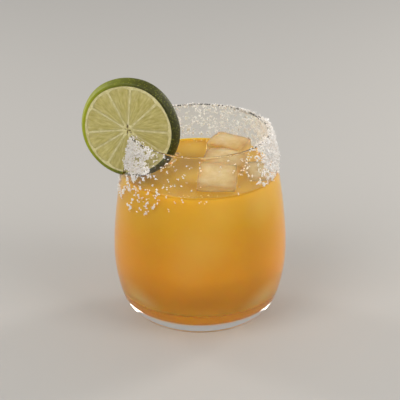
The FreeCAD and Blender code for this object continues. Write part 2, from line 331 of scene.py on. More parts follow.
def lathe(name, profile, material, closed=False):
    """Turns (radius, height) points round the Z axis. Points on the axis become poles."""
    vertices, rings, faces = [], [], []
    for radius, height in profile:
        count = TURN_STEPS if radius > ON_AXIS else 1
        rings.append(range(len(vertices), len(vertices) + count))
        for k in range(count):
            turn = 2 * math.pi * k / TURN_STEPS
            vertices.append((radius * math.cos(turn), radius * math.sin(turn), height))
    pairs = list(zip(rings, rings[1:] + rings[:1])) if closed else list(zip(rings, rings[1:]))
    for low, high in pairs:
        for k in range(TURN_STEPS):
            after = (k + 1) % TURN_STEPS
            corners = [low[k % len(low)], low[after % len(low)],
                       high[after % len(high)], high[k % len(high)]]
            faces.append(list(dict.fromkeys(corners)))
    return piece_from(name, vertices, [f for f in faces if len(f) > 2], material)


# %% [markdown]
# The glass itself is soda-lime glass, clear, with an index of refraction of 1.52 and a
# fire-polished skin that is almost perfectly smooth. A lamp's light bends through glass, and
# a path tracer seldom finds that path, so shadow rays see the wall as clear. The drink behind
# it is then lit as it is in life.

# %% Soda-lime glass, fire-polished


def soda_lime_glass():
    material, output = new_material("soda_lime_glass")
    wall = add_node(material, "ShaderNodeBsdfPrincipled", {
        "Base Color": hex_to_linear("#fcfefc"), "Transmission Weight": 1.0,
        "IOR": 1.52, "Roughness": 0.0})
    return finish_material(material, output, wall, shadow_tint=(0.94, 0.95, 0.94, 1.0))


lip_arc = arc(LIP_CENTRE, WALL / 2, LIP_TURN, LIP_TURN + math.pi, LIP_STEPS)[1:-1]
glass_profile = ([(0.0, 0.0)] + wall_curve(0.0) + lip_arc + wall_curve(WALL)[::-1]
                 + [(0.0, FLOOR_THICKNESS)])
glass = lathe("glass_blown", glass_profile, soda_lime_glass())
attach(glass, "root")
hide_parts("glass")
print("glass profile of", len(glass_profile), "points")

# %% [markdown]
# ## Ice
#
# The cubes are bar ice: about 20 mm, worn round at the corners and a little lopsided, since
# they melt unevenly. A subdivided box with its corners pulled towards a sphere gives that
# shape, and a low noise pushes its faces in and out. Each is placed where the drink shows
# one: most of it sunk, a few millimetres above the level.

# %% Cube list and shape
# name, centre (x, y), size, height of the top above the level, turn, lean about x, lean about y
ICE_CUBES = (
    ("back", (15.0, 22.5), (19.0, 17.0, 22.0), 7.0, -28.0, 3.0, 2.0),
    ("middle", (12.5, 4.0), (22.0, 17.0, 24.0), 6.5, -12.0, 4.0, 4.0),
    ("front", (8.5, -17.0), (20.0, 24.0, 22.0), 6.5, -4.0, 9.0, 3.0),
    ("wheel_side", (-21.0, 12.0), (18.0, 17.0, 22.0), 3.0, -30.0, 4.0, -3.0),
    ("right", (29.0, -6.0), (12.0, 20.0, 18.0), 3.0, 10.0, 4.0, 5.0),
)
ICE_CUTS = 14
# Corners are pulled towards a sphere this large, counted in half widths. A corner lies
# CORNER_REACH farther out than the middle of a face does.
ICE_ROUNDING = 0.22
ICE_SPHERE = 1.25
CORNER_REACH = 0.73
ICE_WEAR = 0.7 * MM
WEAR_NOISES = ((90, 1.0), (260, 0.4))
WEAR_SLICE = 3.1
ICE_WALL_GAP = 0.5 * MM


def ice_cube(name, place, size, above, turn, lean_x, lean_y, material):
    """One worn cube, standing so that its top is the given height above the drink."""
    work = bmesh.new()
    bmesh.ops.create_cube(work, size=2.0)
    bmesh.ops.subdivide_edges(work, edges=work.edges[:], cuts=ICE_CUTS, use_grid_fill=True)
    half = Vector(size) * MM / 2
    milk = work.verts.layers.float.new("milk")
    for vertex in work.verts:
        cube = vertex.co.copy()
        near, mid, _ = sorted(abs(c) for c in cube)
        vertex[milk] = (1 - near ** 4) * (1 - mid ** 4)
        ball = cube.normalized() * ICE_SPHERE
        shape = cube.lerp(ball, ICE_ROUNDING * max(0.0, cube.length - 1.0) / CORNER_REACH)
        point = Vector((shape.x * half.x, shape.y * half.y, shape.z * half.z))
        seed = Vector((len(name) * WEAR_SLICE, place[0], place[1]))
        wear = sum(share * noise.noise(point * scale + seed) for scale, share in WEAR_NOISES)
        vertex.co = point + point.normalized() * ICE_WEAR * wear
    rotation = (Matrix.Rotation(math.radians(turn), 3, "Z")
                @ Matrix.Rotation(math.radians(lean_x), 3, "X")
                @ Matrix.Rotation(math.radians(lean_y), 3, "Y"))
    for vertex in work.verts:
        vertex.co = rotation @ vertex.co
    top = max(vertex.co.z for vertex in work.verts)
    shift = Vector((place[0] * MM, place[1] * MM, FILL_LEVEL + above * MM - top))
    for vertex in work.verts:
        vertex.co += shift
        radius = math.hypot(vertex.co.x, vertex.co.y)
        most = wall_radius(max(vertex.co.z, SHOULDER_HEIGHT), WALL) - ICE_WALL_GAP
        if radius > most:
            vertex.co.x *= most / radius
            vertex.co.y *= most / radius
    mesh = bpy.data.meshes.new("ice_" + name)
    work.to_mesh(mesh)
    work.free()
    return link_piece("ice_" + name, mesh, material)


# %% [markdown]
# Bar ice freezes from the outside in. Its edges come out clear and the air gathers as milk in
# the middle. Each point of a cube carries a number, milk, that is 0 at the edges and 1 in the
# middle of a face. Where it is high, less light goes through at ice's index of 1.31 and more is
# scattered back.

# %% Clear-edged, milky ice


def milky_ice():
    material, output = new_material("milky_bar_ice")
    place = place_in(material)
    milk = add_node(material, "ShaderNodeAttribute", attribute_name="milk").outputs["Fac"]
    veins = add_node(material, "ShaderNodeTexNoise", {
        "Vector": place, "Scale": 150.0, "Detail": 5.0, "Roughness": 0.65}).outputs["Fac"]
    milky = calculate(material, "MULTIPLY", map_range(material, veins, 0.35, 0.6, 0.75, 1.0), milk)
    clear_share = map_range(material, milky, 0.0, 1.0, 0.85, 0.38)
    # Painted light: the cream-yellow tint stands in for the drink's colour seen through the ice; the
    # veins vary it at random.
    tint = ramp(material, veins, [(0.3, "#e0cc92"), (0.7, "#eee2be")])
    bump = add_node(material, "ShaderNodeBump", {"Strength": 0.2, "Distance": 0.5 * MM, "Height": veins})
    ice = add_node(material, "ShaderNodeBsdfPrincipled", {
        "Base Color": tint, "Transmission Weight": clear_share, "IOR": 1.31, "Roughness": 0.04,
        "Subsurface Weight": 1.0, "Subsurface Radius": (5 * MM, 4 * MM, 2.5 * MM),
        "Subsurface Scale": 1.0, "Normal": bump.outputs["Normal"]})
    return finish_material(material, output, ice, shadow_tint=(0.97, 0.97, 0.95, 1.0))


ice_material = milky_ice()
ice_pieces = [ice_cube(*cube, ice_material) for cube in ICE_CUBES]
for cube in ice_pieces:
    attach(cube, "root")
print(len(ice_pieces), "ice cubes")

# %% [markdown]
# ## The drink
#
# A margarita shaken with juice is cloudy: light enters, scatters in the pulp and comes out
# tinted, so the drink glows rather than showing what is behind it. The piece fills the glass
# and reaches a little way into the wall, which leaves no air gap to mirror the light. At the
# wall the surface climbs in a small rim, the meniscus. We could cut the ice out of it, but the
# drink hides whatever is sunk in it, and a hollow would only show as a dark line round each
# cube. So the cubes stand in it uncut, and their tops show.

# %% Fill the glass
WALL_REACH = 0.15 * MM
MENISCUS_RISE = 0.5 * MM
MENISCUS_WIDTH = 1.3 * MM
TOP_RINGS = 40


def drink_profile():
    """Up the wall, then in along the surface to the middle."""
    inset = WALL - WALL_REACH
    brim = FILL_LEVEL + MENISCUS_RISE
    top_turn = math.asin((brim - NECK_CENTRE.y) / (NECK_ARC - inset))
    side = [(0.0, FLOOR_THICKNESS - WALL_REACH)] + wall_curve(inset, top_turn)
    edge = side[-1][0]
    surface = []
    for i in range(1, TOP_RINGS + 1):
        radius = edge * (1 - (i / TOP_RINGS) ** 2)
        climb = MENISCUS_RISE * math.exp(-max(0.0, edge - WALL_REACH - radius) / MENISCUS_WIDTH)
        surface.append((radius, FILL_LEVEL + climb))
    return side + surface


# %% Cloudy citrus drink
# Colours by height, from the floor of the glass to the level, and those of the open surface.
# The height colours are painted brightest at the floor: painted light where the lamps reach the
# drink least.
DRINK_BANDS_AND_PAINTED_LIGHT = ((0.0, "#f6a800"), (0.16, "#eea200"), (0.34, "#de9c00"),
               (0.55, "#d69c00"), (0.78, "#d4a404"), (1.0, "#d8ac20"))
SURFACE_TONES = ((0.35, "#b48208"), (0.65, "#c69618"))
# A darker brown where the surface climbs at the wall: painted shade along the meniscus.
MENISCUS_PAINTED_SHADE = "#b08018"
LEVEL_SLACK = 0.1 * MM
FACES_UP = 0.5
SWIRL_SCALE = 28.0
BAND_DRIFT = 0.12
# Paler patches of painted glow, painted light in the drink's colour: where ice lies just under
# the surface or behind the wall and light comes through it, high on the right where the lamps
# light the drink most, and where the thick base throws light into the drink: centre and reach in
# millimetres, strength, colour.
PAINTED_GLOW_PALE = "#dcb44c"
PAINTED_BASE_LIGHT = "#ffd274"
WALL_PAINTED_GLOW = (
    ((9.0, -40.0, 76.0), 16.0, 0.45, PAINTED_GLOW_PALE), ((1.0, -42.0, 58.0), 20.0, 0.45, PAINTED_GLOW_PALE),
    ((-6.0, -42.0, 44.0), 15.0, 0.25, PAINTED_GLOW_PALE), ((32.0, -28.0, 77.0), 17.0, 0.85, PAINTED_GLOW_PALE),
    ((-28.0, -32.0, 74.0), 14.0, 0.20, PAINTED_GLOW_PALE),
    ((-30.0, -22.0, 18.0), 16.0, 0.75, PAINTED_BASE_LIGHT), ((31.0, -21.0, 18.0), 16.0, 0.75, PAINTED_BASE_LIGHT),
)
SURFACE_PAINTED_GLOW = (
    ((-4.0, -10.0, 83.0), 12.0, 0.45, PAINTED_GLOW_PALE), ((9.0, -6.0, 83.0), 20.0, 0.50, PAINTED_GLOW_PALE),
    ((-3.0, 26.0, 83.0), 16.0, 0.65, PAINTED_GLOW_PALE), ((24.0, 16.0, 83.0), 15.0, 0.60, PAINTED_GLOW_PALE),
    ((-20.0, 12.0, 83.0), 14.0, 0.55, PAINTED_GLOW_PALE),
)


def cloudy_drink(against_wall):
    """Against the wall there is no air, so only the open surface mirrors the light."""
    material, output = new_material("cloudy_citrus_at_wall" if against_wall else "cloudy_citrus_surface")
    place = place_in(material)
    swirl = add_node(material, "ShaderNodeTexNoise", {
        "Vector": place, "Scale": SWIRL_SCALE, "Detail": 2.0}).outputs["Fac"]
    if against_wall:
        height = add_node(material, "ShaderNodeSeparateXYZ", {"Vector": place}).outputs["Z"]
        share = map_range(material, height, FLOOR_THICKNESS, FILL_LEVEL)
        drift = map_range(material, swirl, 0.0, 1.0, -BAND_DRIFT, BAND_DRIFT)
        # Painted light: the bands brighten towards the floor of the glass.
        colour = ramp(material, calculate(material, "ADD", share, drift), DRINK_BANDS_AND_PAINTED_LIGHT)
        climb = map_range(material, height, FILL_LEVEL - 2 * MENISCUS_RISE, FILL_LEVEL)
    else:
        colour = ramp(material, swirl, SURFACE_TONES)
        flat = add_node(material, "ShaderNodeVectorMath", {
            0: place, 1: (1, 1, 0)}, operation="MULTIPLY").outputs[0]
        radius = add_node(material, "ShaderNodeVectorMath", {
            0: flat}, operation="LENGTH").outputs["Value"]
        brim = wall_radius(FILL_LEVEL, WALL - WALL_REACH)
        climb = map_range(material, radius, brim - MENISCUS_WIDTH, brim)
    # Each patch is painted light: the colour turns paler towards its centre.
    for centre, reach, strength, pale in WALL_PAINTED_GLOW if against_wall else SURFACE_PAINTED_GLOW:
        away = add_node(material, "ShaderNodeVectorMath", {
            0: place, 1: [c * MM for c in centre]}, operation="DISTANCE").outputs["Value"]
        near = map_range(material, away, 0.0, reach * MM, strength, 0.0, interpolation_type="SMOOTHSTEP")
        colour = mix_colour(material, near, colour, pale)
    # The meniscus colour is mixed in where the surface climbs: painted shade.
    drink = add_node(material, "ShaderNodeBsdfPrincipled", {
        "Base Color": mix_colour(material, climb, colour, MENISCUS_PAINTED_SHADE), "Roughness": 0.10,
        "IOR": 1.34, "Specular IOR Level": 0.05 if against_wall else 0.5,
        "Subsurface Weight": 0.8, "Subsurface Radius": (12 * MM, 8 * MM, 1.5 * MM),
        "Subsurface Scale": 1.0})
    return finish_material(material, output, drink)


drink = lathe("drink_cloudy", drink_profile(), cloudy_drink(True))
drink.data.materials.append(cloudy_drink(False))
for face in drink.data.polygons:
    if face.center.z > FILL_LEVEL - LEVEL_SLACK and face.normal.z > FACES_UP:
        face.material_index = 1
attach(drink, "root")
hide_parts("drink")
print("drink of", len(drink.data.polygons), "faces")

# %% [markdown]
# Shaking leaves a little froth, which gathers where the surface climbs: along the wall and
# round the ice. Each bubble is a small ball, a third of it sunk, from a third of a millimetre
# to a millimetre and a half across, and most of them are small.

# %% Froth bubbles
# Where it gathers: direction round the wall in degrees, its spread, how many bubbles.
FROTH_PATCHES = ((116.0, 13.0, 70), (84.0, 12.0, 45), (40.0, 12.0, 30),
                 (205.0, 14.0, 30), (262.0, 16.0, 22))
FROTH_NEAREST = 0.5 * MM
FROTH_SPREAD = 1.3
ICE_FROTH = 16
ICE_FROTH_OFF = 0.4
BRIM_CLEAR = 0.8 * MM
BUBBLE_SIZE = (0.35 * MM, 1.5 * MM)
BUBBLE_SUNK = 0.35
BUBBLE_STEPS = 2
SMALL_ONES = 3


def froth_places(dice):
    """Points on the surface near the wall, and near the foot of each cube that breaks it."""
    brim = wall_radius(FILL_LEVEL, WALL)
    for turn, spread, count in FROTH_PATCHES:
        for _ in range(count):
            inward = abs(dice.gauss(0, FROTH_SPREAD)) * MM + FROTH_NEAREST
            yield math.radians(dice.gauss(turn, spread)), brim - inward
    for _, centre, size, _, turn, _, _ in ICE_CUBES:
        for _ in range(ICE_FROTH):
            side, along = dice.choice(((0, 1), (1, 0))), dice.uniform(-0.5, 0.5)
            sign = dice.choice((-1, 1))
            local = [sign * (0.5 * size[k] + ICE_FROTH_OFF) if side[k] else along * size[k]
                     for k in (0, 1)]
            at = Vector(local) @ Matrix.Rotation(math.radians(-turn), 2) * MM + Vector(centre) * MM
            if at.length < brim - BRIM_CLEAR:
                yield math.atan2(at.y, at.x), at.length


def make_froth(material):
    dice = random.Random(SEED)
    work = bmesh.new()
    for turn, radius in froth_places(dice):
        width = BUBBLE_SIZE[0] + (BUBBLE_SIZE[1] - BUBBLE_SIZE[0]) * dice.random() ** SMALL_ONES
        height = FILL_LEVEL - BUBBLE_SUNK * width / 2
        spot = Vector((radius * math.cos(turn), radius * math.sin(turn), height))
        bmesh.ops.create_icosphere(work, subdivisions=BUBBLE_STEPS, radius=width / 2,
                                   matrix=Matrix.Translation(spot))
    mesh = bpy.data.meshes.new("froth")
    work.to_mesh(mesh)
    work.free()
    return link_piece("froth", mesh, material)


def froth_film():
    """Thin wet film over trapped air, which scatters like milk: paler than the drink and glossy."""
    material, output = new_material("froth_film")
    film = add_node(material, "ShaderNodeBsdfPrincipled", {
        "Base Color": hex_to_linear("#ecd084"), "Roughness": 0.12, "IOR": 1.34, "Subsurface Weight": 0.5,
        "Subsurface Radius": (1 * MM, 1 * MM, 0.6 * MM), "Subsurface Scale": 1.0})
    return finish_material(material, output, film)


froth = make_froth(froth_film())
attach(froth, "root")
print("froth of", len(froth.data.polygons), "faces")

# %% [markdown]
# ## The lime wheel
#
# A wheel is a slice across the fruit, near enough to one end that the peel slopes: its front
# cut is smaller than its back. It has a thin green peel full of oil glands, a pale pith ring,
# pale membranes like spokes round a woody core, and juice sacs that fill each segment and
# point at the core. We model peel, pith and sacs as three pieces, since each has its own
# gloss, and set them in the wheel's own frame, x across, y up and z out of the front cut.

# %% Where the wheel sits
SEAT_ANGLE = math.radians(10.0)
WHEEL_TURN = math.radians(17.0)
WHEEL_LEAN = math.radians(5.0)
CORE_ABOVE_RIM = 3.3 * MM
CORE_OUTSIDE = 1.0 * MM
SLIT_GAP = 0.3 * MM
BACK_RADIUS = 26.6 * MM
FACE_RADIUS = 24.6 * MM
HALF_THICK = 2.5 * MM


def wheel_place():
    ring = RIM_RADIUS - WALL / 2
    across = Vector((math.cos(WHEEL_TURN), -math.sin(WHEEL_TURN), 0))
    forward = Vector((-math.sin(WHEEL_TURN), -math.cos(WHEEL_TURN), 0))
    face = forward * math.cos(WHEEL_LEAN) + Vector((0, 0, math.sin(WHEEL_LEAN)))
    centre = Vector((-ring * math.cos(SEAT_ANGLE), -ring * math.sin(SEAT_ANGLE), RIM_HEIGHT))
    centre += Vector((0, 0, CORE_ABOVE_RIM)) - across * CORE_OUTSIDE
    turned = Matrix((across, face.cross(across), face)).transposed().to_4x4()
    return Matrix.Translation(centre) @ turned


WHEEL_PLACE = wheel_place()
print("wheel core at", [round(v / MM, 1) for v in WHEEL_PLACE.translation])


def share_radius(front, z):
    """A radius given at the front cut, followed back along the slope of the peel."""
    depth = (HALF_THICK - z) / (2 * HALF_THICK)
    return front * (1 + depth * (BACK_RADIUS / FACE_RADIUS - 1))


# %% [markdown]
# The peel is a ring turned from its cross-section: a flank that bulges a little, two narrow
# rings of zest on the cuts, and an inner side hidden against the pith. The flank is dimpled by
# oil glands about a millimetre apart, so each point is pushed in by a cell noise of that size.

# %% Peel
PEEL_THICKNESS = 1.35 * MM
PEEL_BULGE = 0.40 * MM
PEEL_STEPS = 480
FLANK_STEPS = 22
CUT_STEPS = 4
# The flank's edges roll off over the last part of its half width.
EDGE_ROLL = 0.25 * MM
ROLL_FROM = 0.86
GLAND_SPACING = 1.15 * MM
GLAND_DEPTH = 0.09 * MM
GLAND_HALF = 0.45
FRUIT_LUMPS = 0.45 * MM
LUMP_SCALE = 1.3
LUMP_SLICE = 4.2
# Greens for the peel, yellow to dark: spread across the wheel as painted light on the left and painted
# shade on the right, and varied by a random mottle.
ZEST_GREENS_AND_PAINTED_SHADE = ((0.12, "#a0a81a"), (0.42, "#747c18"), (0.7, "#444709"), (1.0, "#343606"))


def peel_section():
    """Closed cross-section, as (radius, z, how much of a dimple it takes)."""
    flank = []
    for i in range(FLANK_STEPS + 1):
        share = i / FLANK_STEPS
        z = HALF_THICK * (2 * share - 1)
        bulge = PEEL_BULGE * math.sin(math.pi * share)
        edge = EDGE_ROLL * (max(0.0, abs(2 * share - 1) - ROLL_FROM) / (1 - ROLL_FROM)) ** 2
        takes = math.sin(math.pi * share) ** 0.5
        flank.append((share_radius(FACE_RADIUS, z) + bulge - edge, z, takes))
    steps = [PEEL_THICKNESS * i / CUT_STEPS for i in range(1, CUT_STEPS + 1)]
    front = [(FACE_RADIUS - step, HALF_THICK, 0.0) for step in steps]
    back = [(BACK_RADIUS - step, -HALF_THICK, 0.0) for step in reversed(steps)]
    return flank + front + back


def lumps(turn):
    """The fruit isn't quite round: its radius wanders by under half a millimetre."""
    spot = Vector((LUMP_SCALE * math.cos(turn), LUMP_SCALE * math.sin(turn), LUMP_SLICE))
    return FRUIT_LUMPS * noise.noise(spot)


def make_peel(material):
    section = peel_section()
    vertices, faces = [], []
    count = len(section)
    for k in range(PEEL_STEPS):
        turn = 2 * math.pi * k / PEEL_STEPS
        for radius, z, takes in section:
            point = Vector((radius * math.cos(turn), radius * math.sin(turn), z))
            cells = noise.voronoi(point / GLAND_SPACING)[0]
            pit = max(0.0, 1 - cells[0] / GLAND_HALF) * GLAND_DEPTH * takes
            r = radius + lumps(turn) - pit
            vertices.append((r * math.cos(turn), r * math.sin(turn), z))
        for j in range(count):
            after, across = (k + 1) % PEEL_STEPS, (j + 1) % count
            faces.append((k * count + j, after * count + j,
                          after * count + across, k * count + across))
    return piece_from("lime_peel", vertices, faces, material)


def lime_zest():
    """Waxy peel: mottled green, with paler spots where the oil glands show.
    Yellow-green on the left and dark green on the right: painted light and shade.
    """
    material, output = new_material("waxy_lime_zest")
    place = place_in(material)
    mottle = add_node(material, "ShaderNodeTexNoise", {
        "Vector": place, "Scale": 160.0, "Detail": 3.0}).outputs["Fac"]
    glands = add_node(material, "ShaderNodeTexVoronoi", {
        "Vector": place, "Scale": 1 / GLAND_SPACING}).outputs["Distance"]
    across = add_node(material, "ShaderNodeSeparateXYZ", {"Vector": place}).outputs["X"]
    # Painted light and shade: lighter on the left where the key light falls, darker on the right.
    side = map_range(material, across, -BACK_RADIUS, BACK_RADIUS)
    mottle_and_painted_shade = calculate(material, "MULTIPLY_ADD", mottle, 0.25, side)
    green = ramp(material, mottle_and_painted_shade, ZEST_GREENS_AND_PAINTED_SHADE)
    spots = map_range(material, glands, 0.12, 0.4, 0.30, 0.0)
    zest = add_node(material, "ShaderNodeBsdfPrincipled", {
        "Base Color": mix_colour(material, spots, green, "#b3ba3c"), "Roughness": 0.5, "IOR": 1.38,
        "Subsurface Weight": 0.25, "Subsurface Radius": (1.5 * MM, 2 * MM, 0.4 * MM),
        "Subsurface Scale": 1.0, "Coat Weight": 0.08, "Coat Roughness": 0.2})
    return finish_material(material, output, zest)


peel = make_peel(lime_zest())
print("peel of", len(peel.data.vertices), "points")

# %% [markdown]
# The pith is the white layer under the peel, and the membranes grow from it to the core. One
# disc makes them all: it fills the peel and stands a hair below the juice sacs, so that it
# shows only where the sacs leave it free, as a ring, spokes and a core. The knife has torn a
# few pits in the core, where the fibres are woody.

# %% Pith, membranes and core
# The spokes' directions in degrees, as uneven as in a real fruit.
SPOKES = [math.radians(a) for a in (2, 46, 88, 121, 154, 190, 216, 241, 286, 332)]
PITH_WIDTH = 0.8 * MM
MEMBRANE_HALF = 0.20 * MM
CORE_RADIUS = 2.5 * MM
SAC_PROUD = 0.10 * MM
# Pits torn in the core by the knife: centre across, centre up, half width, half height.
TORN_PITS = [[c * MM for c in pit] for pit in (
    (-0.3, 1.5, 0.7, 1.3), (0.8, -0.3, 1.0, 0.6), (-0.2, -1.5, 0.6, 1.2),
    (1.5, -1.4, 0.9, 0.4), (-1.4, 0.1, 0.8, 0.35))]
TORN_DEPTH = 1.1 * MM
RAGGED_SHARE = 0.5
RAGGED_SCALE = 1100
PITH_SUNK = 0.02 * MM
PITH_LAP = 0.2 * MM
PITH_GRAIN = 0.07 * MM
PITH_GRAIN_SCALE = 900
PITH_STEPS = 180
PITH_RINGS = 44


def torn_depth(point):
    """How deep the core is torn at a point of a cut."""
    ragged = 1 + RAGGED_SHARE * noise.noise(point * RAGGED_SCALE)
    outs = [math.hypot((point.x - x) / wide, (point.y - y) / tall) * ragged
            for x, y, wide, tall in TORN_PITS]
    return TORN_DEPTH * max(0.0, 1 - min(outs) ** 2)


def make_pith(material):
    vertices, faces = [], []
    for side in (1, -1):
        z0 = side * (HALF_THICK - PITH_SUNK)
        rim = share_radius(FACE_RADIUS, z0) - PEEL_THICKNESS + PITH_LAP
        start = len(vertices)
        for i in range(PITH_RINGS):
            share = i / PITH_RINGS
            radius = rim * (1 - share)
            for k in range(PITH_STEPS):
                turn = 2 * math.pi * k / PITH_STEPS
                point = Vector((radius * math.cos(turn), radius * math.sin(turn), z0))
                rough = abs(PITH_GRAIN * noise.noise(point * PITH_GRAIN_SCALE))
                vertices.append((point.x, point.y, z0 - side * (torn_depth(point) + rough)))
        vertices.append((0, 0, z0 - side * TORN_DEPTH / 2))
        for i in range(PITH_RINGS - 1):
            for k in range(PITH_STEPS):
                after = (k + 1) % PITH_STEPS
                a, b = start + i * PITH_STEPS, start + (i + 1) * PITH_STEPS
                faces.append((a + k, a + after, b + after, b + k))
        last, pole = start + (PITH_RINGS - 1) * PITH_STEPS, len(vertices) - 1
        faces += [(last + k, last + (k + 1) % PITH_STEPS, pole) for k in range(PITH_STEPS)]
    half = len(vertices) // 2
    faces += [(k, (k + 1) % PITH_STEPS, half + (k + 1) % PITH_STEPS, half + k)
              for k in range(PITH_STEPS)]
    return piece_from("lime_pith", vertices, faces, material)


def lime_pith():
    """Dry, matte and pale, and browner the deeper a point lies in the core's torn pits."""
    material, output = new_material("matte_pith")
    place = place_in(material)
    fibre = add_node(material, "ShaderNodeTexNoise", {
        "Vector": place, "Scale": 600.0, "Detail": 3.0}).outputs["Fac"]
    pale = ramp(material, fibre, [(0.3, "#c6bd80"), (0.7, "#e6deaa")])
    # Browner with depth below the cut face, in the torn pits.
    across = add_node(material, "ShaderNodeSeparateXYZ", {"Vector": place}).outputs["Z"]
    out = calculate(material, "ABSOLUTE", across)
    torn = map_range(material, out, HALF_THICK - 0.9 * MM, HALF_THICK - 0.12 * MM, 1.0, 0.0)
    browner_with_depth = calculate(material, "MULTIPLY", torn, 0.75)
    pith = add_node(material, "ShaderNodeBsdfPrincipled", {
        "Base Color": mix_colour(material, browner_with_depth, pale, "#6a4c1a"), "Roughness": 0.6, "IOR": 1.4,
        "Subsurface Weight": 0.5, "Subsurface Radius": (2 * MM, 2 * MM, 1 * MM),
        "Subsurface Scale": 1.0})
    return finish_material(material, output, pith)


pith = make_pith(lime_pith())
print("pith and", len(SPOKES), "membranes")

# %% [markdown]
# The juice sacs are long drops, blunt at the peel and drawn out towards the core. A cell
# noise gives that when it is measured in turn and radius instead of x and y: cells that are
# narrow in turn and long in radius fan out from the core by themselves. Each segment is a
# closed pillow with the sacs raised on both cuts.

# %% Juice sacs
SAC_WIDTH = 1.5 * MM
SAC_LENGTH = 6.5 * MM
SAC_RELIEF = 0.09 * MM
SAC_TURN_SCALE = 15.0 * MM
RADIAL_STEPS = 46
SIDE_STEPS = 26
# The cells drift a little and end in a crease, and the two cuts show different ones.
SAC_DRIFT = 0.3
DRIFT_SCALE = 0.9
SAC_CREASE = 0.5
CUTS_APART = 7.0
# A segment's outline: its outer corners are drawn in, and it starts slim at the core.
CORNER_DRAWN = 1.1 * MM
LEAST_SPREAD = 0.05 * MM
SLIM_AT_CORE = 0.55
SLIM_GROWTH = 3.0
MOST_SINE = 0.99
# How far from its sides, its tip and its outer end a segment starts to roll down, and how far
# it goes down below the pith.
ROLL_AT_SIDE = 0.5 * MM
ROLL_AT_TIP = 0.9 * MM
ROLL_AT_PEEL = 0.6 * MM
ROLL_DEPTH = 0.25 * MM


def sac_relief(radius, turn, side):
    """Height of the sacs at a place on a cut: 0 in a crease, 1 on a crown."""
    cell = Vector((turn * SAC_TURN_SCALE / SAC_WIDTH, radius / SAC_LENGTH, CUTS_APART * side))
    cell += SAC_DRIFT * noise.noise_vector(cell * DRIFT_SCALE)
    near = noise.voronoi(cell)[0]
    crown = min(1.0, (near[1] - near[0]) / SAC_CREASE)
    return crown * crown * (3 - 2 * crown)


def segment_points(first, last, side):
    """One cut face of a segment as a grid of points, edges rolled down into the membranes."""
    middle, half = (first + last) / 2, (last - first) / 2
    z0 = side * (HALF_THICK + SAC_PROUD)
    outer = share_radius(FACE_RADIUS, side * HALF_THICK) - PEEL_THICKNESS - PITH_WIDTH
    grid = []
    for i in range(RADIAL_STEPS + 1):
        s = i / RADIAL_STEPS
        for j in range(SIDE_STEPS + 1):
            t = 2 * j / SIDE_STEPS - 1
            radius = CORE_RADIUS + (outer - CORNER_DRAWN * abs(t) ** 4 - CORE_RADIUS) * s
            spread = max(radius * math.sin(half) - MEMBRANE_HALF, LEAST_SPREAD)
            spread *= min(1.0, SLIM_AT_CORE + SLIM_GROWTH * s)
            turn = middle + math.asin(min(MOST_SINE, spread / radius)) * t
            edge = min(1.0, (1 - abs(t)) * spread / ROLL_AT_SIDE,
                       s * outer / ROLL_AT_TIP, (1 - s) * outer / ROLL_AT_PEEL)
            roll = math.sqrt(max(0.0, 1 - (1 - edge) ** 2))
            height = SAC_RELIEF * (sac_relief(radius, turn, side) - 1) * roll
            height -= (SAC_PROUD + ROLL_DEPTH) * (1 - roll)
            grid.append((radius * math.cos(turn), radius * math.sin(turn), z0 + side * height))
    return grid


def make_sacs(material):
    vertices, faces = [], []
    wide, deep = SIDE_STEPS + 1, RADIAL_STEPS + 1
    for first, last in zip(SPOKES, SPOKES[1:] + [SPOKES[0] + 2 * math.pi]):
        start = len(vertices)
        vertices += segment_points(first, last, 1) + segment_points(first, last, -1)
        below = start + wide * deep
        for i in range(deep - 1):
            for j in range(wide - 1):
                a = i * wide + j
                faces.append((start + a, start + a + 1, start + a + wide + 1, start + a + wide))
                faces.append((below + a, below + a + wide, below + a + wide + 1, below + a + 1))
        rim = ([j for j in range(wide - 1)] + [i * wide + wide - 1 for i in range(deep - 1)]
               + [(deep - 1) * wide + j for j in range(wide - 1, 0, -1)]
               + [i * wide for i in range(deep - 1, 0, -1)])
        for a, b in zip(rim, rim[1:] + rim[:1]):
            faces.append((start + a, start + b, below + b, below + a))
    return piece_from("lime_sacs", vertices, faces, material)


def lime_sacs():
    """Wet juice sacs: translucent yellow-green, streaked from core to peel."""
    material, output = new_material("wet_juice_sacs")
    place = place_in(material)
    axes = add_node(material, "ShaderNodeSeparateXYZ", {"Vector": place}).outputs
    turn = calculate(material, "ARCTAN2", axes["Y"], axes["X"])
    radius = add_node(material, "ShaderNodeVectorMath", {0: place}, operation="LENGTH").outputs["Value"]
    wide = calculate(material, "MULTIPLY", turn, SAC_TURN_SCALE / SAC_WIDTH)
    long = calculate(material, "MULTIPLY", radius, 1 / SAC_LENGTH)
    fan = add_node(material, "ShaderNodeCombineXYZ", {"X": wide, "Y": long}).outputs["Vector"]
    streak = add_node(material, "ShaderNodeTexNoise", {
        "Vector": fan, "Scale": 1.4, "Detail": 3.0, "Roughness": 0.6}).outputs["Fac"]
    colour = ramp(material, streak, [(0.25, "#a89e58"), (0.5, "#c0b674"), (0.78, "#d8d094")])
    sacs = add_node(material, "ShaderNodeBsdfPrincipled", {
        "Base Color": colour, "Roughness": 0.22, "IOR": 1.36,
        "Subsurface Weight": 0.8, "Subsurface Radius": (3 * MM, 3 * MM, 1 * MM),
        "Subsurface Scale": 1.0})
    return finish_material(material, output, sacs)


sacs = make_sacs(lime_sacs())
print("sacs of", len(sacs.data.vertices), "points")

# %% [markdown]
# The slit is cut from the bottom edge to the core, and the wheel is pushed onto the rim, so
# the flesh hugs the wall. We cut every piece with a band that is the wall itself and a small
# gap all round it.

# %% Slit the wheel over the wall
BAND_LOW = 60.0 * MM
lip_over = arc(LIP_CENTRE, WALL / 2 + SLIT_GAP, LIP_TURN, LIP_TURN + math.pi, LIP_STEPS)[1:-1]


